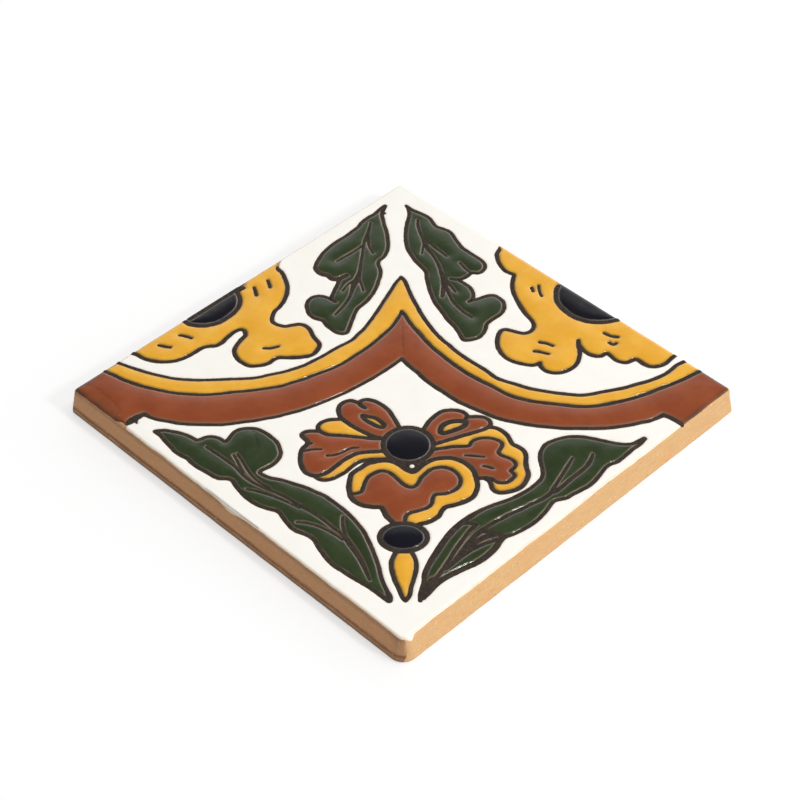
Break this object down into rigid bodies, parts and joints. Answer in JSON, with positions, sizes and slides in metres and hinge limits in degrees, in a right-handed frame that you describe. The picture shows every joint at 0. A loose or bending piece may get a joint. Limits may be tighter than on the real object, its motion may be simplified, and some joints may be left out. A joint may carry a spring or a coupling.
{
  "type": "glazed terracotta tile",
  "caption": "Square terracotta wall tile with a raised-line floral repeat in coloured glazes on a cream ground, bare clay sides and a bare bed.",
  "frame": {"origin": "middle of the bed, the unglazed underside that the tile lies on", "axes": "+Z out of the glazed face. The square's sides run along X and Y. The tip of the cream centre field points along the diagonal from -X +Y, at the back, to +X -Y, at the front corner of the picture."},
  "size_m": [0.1052, 0.1052, 0.0074],
  "materials": {
    "glazed_terracotta": "gloss"
  },
  "bodies": {
    "root": {"glazed_tile": "glazed_terracotta"}
  },
  "joints": []
}
